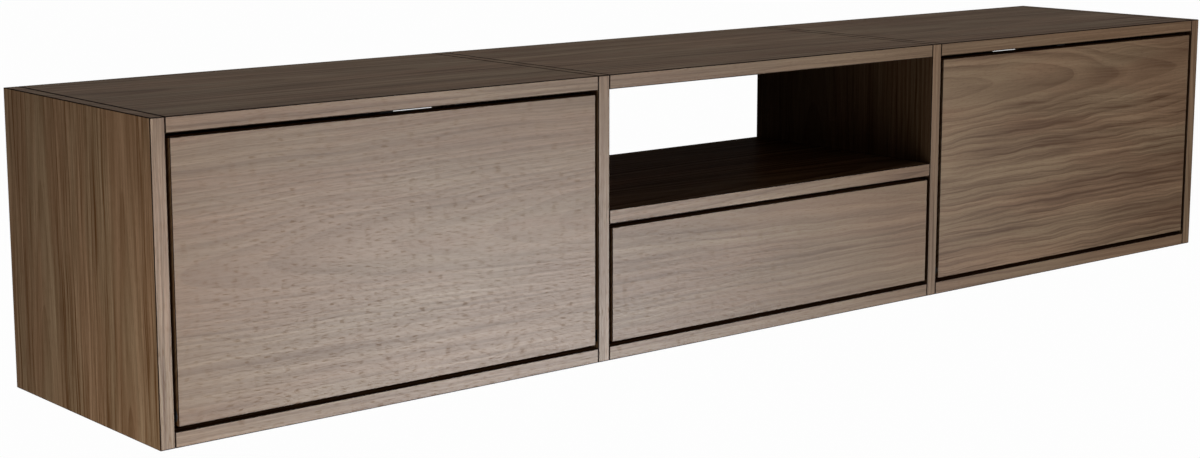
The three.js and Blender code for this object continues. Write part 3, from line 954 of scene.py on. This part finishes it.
class CONSOLE_OT_add_adjusters(bpy.types.Operator):
    """Adds the adjusting screws in the hangers"""

    bl_idname = "console.add_adjusters"
    bl_label = "Add hanger adjusters"

    def execute(self, context):
        radius = context.scene.console_hardware.adjuster_head
        places = []
        for side, _ in SIDES:
            for end in ("outer", "inner"):
                hanger = f"hanger_{side}_{end}"
                x, _, z = middle(hanger)
                y = low(hanger).y + ADJUSTER_SINK + ADJUSTER_RISE
                for step in (-1, 1):
                    centre = (x, y, z + step * ADJUSTER_PITCH / 2)
                    places.append(on_surface(centre, (0, -1, 0)))
        add_piece(
            "hanger_adjusters",
            lambda bm: screw_head(bm, radius, ADJUSTER_RISE),
            places,
            "zinc_plate",
            "carcase",
        )
        return {"FINISHED"}


def cap_form(bm, radius, rise):
    """A shallow cap with a rolled rim and a small dimple in its middle."""
    seat, dimple = turned(
        bm,
        [
            (radius, 0.0),
            (radius, rise * 0.45),
            (radius * 0.95, rise * 0.9),
            (radius * 0.86, rise),
            (radius * 0.30, rise * 0.92),
            (radius * 0.16, rise * 0.6),
        ],
    )
    bm.faces.new(list(reversed(seat)))
    bm.faces.new(dimple)


class CONSOLE_OT_add_caps(bpy.types.Operator):
    """Adds the caps over the knock-down fittings, on the level boards' faces inside the bays"""

    bl_idname = "console.add_caps"
    bl_label = "Add fitting caps"

    def execute(self, context):
        hardware = context.scene.console_hardware
        places = []
        for node in LEVEL_BOARDS:
            board_low, board_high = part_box(node)
            if node.startswith("bottom"):
                face, out = board_high.z, 1
            else:
                face, out = board_low.z, -1
            for x in (board_low.x + hardware.cap_inset, board_high.x - hardware.cap_inset):
                for y in (board_low.y + hardware.cap_setback, board_high.y - hardware.cap_setback):
                    places.append(on_surface((x, y, face), (0, 0, out)))
        add_piece(
            "fitting_caps",
            lambda bm: cap_form(bm, hardware.cap_radius, hardware.cap_rise),
            places,
            "cap_plastic",
            "carcase",
        )
        return {"FINISHED"}


FRONT_SCREW_RISE = 0.0022
FRONT_SCREW_REACH = 0.20  # from the drawer's middle to its front's screws
FRONT_SCREW_LEVELS = (0.3, 0.7)  # shares of the inner front's height


class CONSOLE_OT_add_front_screws(bpy.types.Operator):
    """Adds the pan-head screws that hold the drawer front to its box"""

    bl_idname = "console.add_front_screws"
    bl_label = "Add drawer front screws"

    def execute(self, context):
        radius = context.scene.console_hardware.front_head
        inner_low, inner_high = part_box("drawer_inner_front")
        tall = inner_high.z - inner_low.z
        add_piece(
            "drawer_front_screws",
            lambda bm: screw_head(bm, radius, FRONT_SCREW_RISE),
            [
                on_surface((x, inner_high.y, inner_low.z + share * tall), (0, 1, 0))
                for x in (-FRONT_SCREW_REACH, FRONT_SCREW_REACH)
                for share in FRONT_SCREW_LEVELS
            ],
            "zinc_plate",
            "drawer",
        )
        return {"FINISHED"}


DAMPER_EYE_RADIUS = 0.0065
DAMPER_BARE_ROD = 0.014  # between the body's end and the rod's eye, with the flap closed
GLAND_RADIUS = 0.0076
GLAND_FACE_RADIUS = GLAND_RADIUS * 0.86
GLAND_BORE = 0.0036
GLAND_LENGTH = 0.006
KNURLS = 24
KNURL_DEPTH = 0.00035
PIN_RADIUS = 0.0025
CLIP_RADIUS = 0.0042
CLIP_THICKNESS = 0.0006
CLIP_GAP = 0.0001


def gland_form(bm):
    """The knurled cap that closes a damper's nose, round its rod."""
    outline = (
        (GLAND_BORE, 0.0),
        (GLAND_RADIUS, 0.0, KNURL_DEPTH),
        (GLAND_RADIUS, GLAND_LENGTH, KNURL_DEPTH),
        (GLAND_FACE_RADIUS, GLAND_LENGTH),
        (GLAND_BORE, GLAND_LENGTH),
    )
    hoop(bm, outline, KNURLS * 2)


def clip_form(bm):
    """A retaining washer pressed on a pin's end."""
    outline = (
        (PIN_RADIUS, 0.0),
        (CLIP_RADIUS, 0.0),
        (CLIP_RADIUS, CLIP_THICKNESS),
        (PIN_RADIUS, CLIP_THICKNESS),
    )
    hoop(bm, outline)


class CONSOLE_OT_add_damper_trim(bpy.types.Operator):
    """Adds the dampers' nose glands and the washers that keep their eyes on the pins"""

    bl_idname = "console.add_damper_trim"
    bl_label = "Add damper trim"

    def execute(self, context):
        for side, sign in SIDES:
            pivot = joint_place(f"{side}_damper_body_pivot")
            line = joint_place(f"{side}_damper_rod_pivot") - pivot
            body_end = line.length - DAMPER_EYE_RADIUS - DAMPER_BARE_ROD
            nose = pivot + line.normalized() * (body_end - GLAND_LENGTH)
            add_piece(
                f"damper_gland_{side}",
                gland_form,
                [on_surface(nose, line)],
                "damper_paint",
                f"{side}_damper_body",
            )
            pin_end = side_face(f"damper_anchor_{side}", -sign)
            centre = (pin_end + sign * (CLIP_THICKNESS + CLIP_GAP), pivot.y, pivot.z)
            add_piece(
                f"damper_clip_{side}",
                clip_form,
                [on_surface(centre, (-sign, 0, 0))],
                "zinc_plate",
                "carcase",
            )
        return {"FINISHED"}


CAGE_GAUGE = 0.0005
CAGE_HALF_WIDTH = 0.0027
CAGE_HALF_WINDOW = 0.0018
CAGE_END = 0.0035  # from the middle of its last ball to the cage's end
CAGE_MARGIN = 0.004  # from the middle of that ball to the channel's end
RUNNER_BALL_GAP = 0.0036  # between two channels, where the balls run


def ball_form(bm, radius):
    bmesh.ops.create_icosphere(bm, subdivisions=2, radius=radius)


def cage_form(bm, pitch, count):
    """A thin strip with a window for each ball, from the first ball along Y."""
    columns = [-CAGE_HALF_WIDTH, -CAGE_HALF_WINDOW, CAGE_HALF_WINDOW, CAGE_HALF_WIDTH]
    rows = [-CAGE_END]
    for index in range(count):
        rows += [index * pitch - CAGE_HALF_WINDOW, index * pitch + CAGE_HALF_WINDOW]
    rows.append((count - 1) * pitch + CAGE_END)
    corners = [[bm.verts.new((x, y, -CAGE_GAUGE / 2)) for x in columns] for y in rows]
    for row, (near, far) in enumerate(zip(corners, corners[1:])):
        for column in range(3):
            if column == 1 and row % 2:
                continue
            bm.faces.new((near[column], near[column + 1], far[column + 1], far[column]))
    raised = bmesh.ops.extrude_face_region(bm, geom=bm.faces[:] + bm.edges[:] + bm.verts[:])
    upper = [piece for piece in raised["geom"] if isinstance(piece, bmesh.types.BMVert)]
    bmesh.ops.translate(bm, vec=(0, 0, CAGE_GAUGE), verts=upper)


class CONSOLE_OT_add_runner_balls(bpy.types.Operator):
    """Adds the rows of balls between the runners' channels, and their cages"""

    bl_idname = "console.add_runner_balls"
    bl_label = "Add runner balls"

    def execute(self, context):
        hardware = context.scene.console_hardware
        count, pitch = hardware.ball_count, hardware.ball_pitch
        span = (count - 1) * pitch
        for side, _ in SIDES:
            channel_low, channel_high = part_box(f"runner_middle_{side}")
            drawer_low, drawer_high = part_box(f"runner_drawer_{side}")
            x, _, z = (channel_low + channel_high) / 2
            outer = (channel_high.z - channel_low.z + RUNNER_BALL_GAP) / 2
            inner = (drawer_high.z - drawer_low.z + RUNNER_BALL_GAP) / 2
            back_row = channel_high.y - CAGE_MARGIN - span
            front_row = channel_low.y + CAGE_MARGIN
            starts = [
                Vector((x, start, z + up * offset))
                for start, offset in ((back_row, outer), (front_row, inner))
                for up in (1, -1)
            ]
            add_piece(
                f"runner_cages_{side}",
                lambda bm: cage_form(bm, pitch, count),
                [Matrix.Translation(start) for start in starts],
                "zinc_plate",
                f"{side}_runner_middle",
            )
            add_piece(
                f"runner_balls_{side}",
                lambda bm: ball_form(bm, hardware.ball_radius),
                [
                    Matrix.Translation(start + Vector((0, step * pitch, 0)))
                    for start in starts
                    for step in range(count)
                ],
                "polished_rod",
                f"{side}_runner_middle",
            )
        return {"FINISHED"}


# Studio

def seen_directly(shader):
    """1 for rays from the camera and those mirrored or let through, and 0 for the rest."""
    path = shader.node("LightPath")
    seen = shader.function("MAXIMUM", path.out("Is Camera Ray"), path.out("Is Glossy Ray"))
    return shader.function("MAXIMUM", seen, path.out("Is Transmission Ray"))


# Each lamp's place, the point it lights, its size, its level there and its spread in degrees.
# At a level of 1 a colour shows as it is written.
LAMPS = {
    "key": ((2.65, -4.8, -1.5), (-1.4, -0.37, 0.0), (2.1, 1.2), 0.155, 70),
    "left_side": ((-1.70, -0.74, -0.42), (-0.976, -0.35, -0.1), (0.7, 0.8), 1.6, 180),
    "right_side": ((2.2, -0.12, -0.1), (0.976, -0.12, 0.0), (0.45, 0.9), 0.7, 180),
    "top": ((0.0, -0.19, 2.6), (0.0, -0.19, 0.19), (2.4, 1.0), 0.36, 180),
    "back": ((1.6, 3.0, -0.27), (0.0, 0.0, 0.0), (1.6, 0.5), 0.7, 180),
}


def softbox(name, place, target, size, level, spread):
    """A rectangular lamp that faces its target."""
    place = Vector(place)
    aim = Vector(target) - place
    lamp = bpy.data.lights.new(name, "AREA")
    lamp.shape = "RECTANGLE"
    lamp.size, lamp.size_y = size
    lamp.energy = level * math.pi**2 * aim.length_squared
    lamp.spread = math.radians(spread)
    box = bpy.data.objects.new(name, lamp)
    box.location = place
    box.rotation_mode = "QUATERNION"
    box.rotation_quaternion = aim.to_track_quat("-Z", "Y")
    box.visible_camera = False
    bpy.context.scene.collection.objects.link(box)


DARK_ROOM = 0.005  # light from behind the console, where the wall would be
ROOM_FADE = (0.25, -0.45)  # Y of the directions between which the room's light takes over


def build_world(ambient):
    """White where it is seen, and soft light from the room in front of the console."""
    world = bpy.data.worlds.new("studio")
    world.use_nodes = True
    shader = Shader(world.node_tree)
    direction = shader.node("TexCoord", output="Generated")
    depth = shader.parts(direction).out("Y")
    room = shader.fade(depth, *ROOM_FADE) * (ambient - DARK_ROOM) + DARK_ROOM
    seen = seen_directly(shader)
    strength = seen + (1.0 - seen) * room
    white = shader.node("Background", inputs={"Color": WHITE, "Strength": strength})
    shader.node("OutputWorld", inputs={"Surface": white})
    bpy.context.scene.world = world


FLOOR_PALE = (0.15, 0.15, 0.15)
FLOOR_WHITE_SHARE = 0.985  # the rest of what is seen of the floor shows the shadow
FLOOR_TILES = 8  # along each side


def build_floor(drop, size):
    """A plain pale floor that shows white, keeps a soft shadow and can't be seen from below."""
    bm = bmesh.new()
    bmesh.ops.create_grid(bm, x_segments=FLOOR_TILES, y_segments=FLOOR_TILES, size=size / 2)
    mesh = bpy.data.meshes.new("studio_floor")
    bm.to_mesh(mesh)
    bm.free()
    floor = bpy.data.objects.new("studio_floor", mesh)
    floor.location.z = cad_bounds[0].z - drop
    bpy.context.scene.collection.objects.link(floor)
    material, shader = new_material("studio_floor")
    pale = shader.node("BsdfDiffuse", inputs={"Color": solid(FLOOR_PALE)})
    white = shader.node("Emission", inputs={"Color": WHITE, "Strength": 1.0})
    share = seen_directly(shader) * FLOOR_WHITE_SHARE
    upper = shader.node("MixShader", inputs={0: share, 1: pale, 2: white})
    under = shader.node("BsdfTransparent")
    below = shader.node("NewGeometry").out("Backfacing")
    shader.show(shader.node("MixShader", inputs={0: below, 1: upper, 2: under}))
    mesh.materials.append(material)


# The photograph's camera, fitted to the console's outline
CAMERA_PLACE = (-2.1065, -2.5002, 0.5035)
CAMERA_YAW = math.radians(39.871)
CAMERA_PITCH = math.radians(9.453)
SENSOR_WIDTH = 36.0


def build_camera(stage):
    camera = bpy.data.objects.new("camera", bpy.data.cameras.new("camera"))
    camera.data.lens = stage.lens
    camera.data.sensor_width = SENSOR_WIDTH
    camera.data.shift_y = stage.shift
    camera.location = CAMERA_PLACE
    aim = Vector(
        (
            math.sin(CAMERA_YAW) * math.cos(CAMERA_PITCH),
            math.cos(CAMERA_YAW) * math.cos(CAMERA_PITCH),
            -math.sin(CAMERA_PITCH),
        )
    )
    camera.rotation_mode = "QUATERNION"
    camera.rotation_quaternion = aim.to_track_quat("-Z", "Y")
    bpy.context.scene.collection.objects.link(camera)
    bpy.context.scene.camera = camera


class CONSOLE_OT_build_stage(bpy.types.Operator):
    """Sets up the floor, the light and the camera"""

    bl_idname = "console.build_stage"
    bl_label = "Build stage"

    def execute(self, context):
        stage = context.scene.console_stage
        context.scene.view_settings.view_transform = "Standard"
        build_camera(stage)
        build_world(stage.ambient)
        build_floor(stage.floor_drop, stage.floor_size)
        for name, lamp in LAMPS.items():
            softbox(name, *lamp)
        return {"FINISHED"}


OPERATORS = (
    CONSOLE_OT_finish_fronts,
    CONSOLE_OT_finish_uprights,
    CONSOLE_OT_finish_level_boards,
    CONSOLE_OT_finish_backs,
    CONSOLE_OT_finish_drawer_box,
    CONSOLE_OT_finish_fittings,
    CONSOLE_OT_add_plate_screws,
    CONSOLE_OT_add_flap_screws,
    CONSOLE_OT_add_latch_screws,
    CONSOLE_OT_add_adjusters,
    CONSOLE_OT_add_caps,
    CONSOLE_OT_add_front_screws,
    CONSOLE_OT_add_damper_trim,
    CONSOLE_OT_add_runner_balls,
    CONSOLE_OT_build_stage,
)


class CONSOLE_PT_sidebar(bpy.types.Panel):
    """Lists the steps in the 3D view's sidebar"""

    bl_idname = "CONSOLE_PT_sidebar"
    bl_label = "Media console"
    bl_space_type = "VIEW_3D"
    bl_region_type = "UI"
    bl_category = "Console"

    def draw(self, context):
        for operator in OPERATORS:
            self.layout.operator(operator.bl_idname)


GROUPS = {
    "console_hardware": ConsoleHardware,
    "console_finish": ConsoleFinish,
    "console_stage": ConsoleStage,
}


def register():
    for group in GROUPS.values():
        bpy.utils.register_class(group)
    for name, group in GROUPS.items():
        setattr(bpy.types.Scene, name, PointerProperty(type=group))
    for operator in OPERATORS:
        bpy.utils.register_class(operator)
    bpy.utils.register_class(CONSOLE_PT_sidebar)


def unregister():
    bpy.utils.unregister_class(CONSOLE_PT_sidebar)
    for operator in reversed(OPERATORS):
        bpy.utils.unregister_class(operator)
    for name in GROUPS:
        delattr(bpy.types.Scene, name)
    for group in GROUPS.values():
        bpy.utils.unregister_class(group)


def main():
    register()
    for operator in OPERATORS:
        group, name = operator.bl_idname.split(".")
        getattr(getattr(bpy.ops, group), name)()


if __name__ == "__main__":
    main()
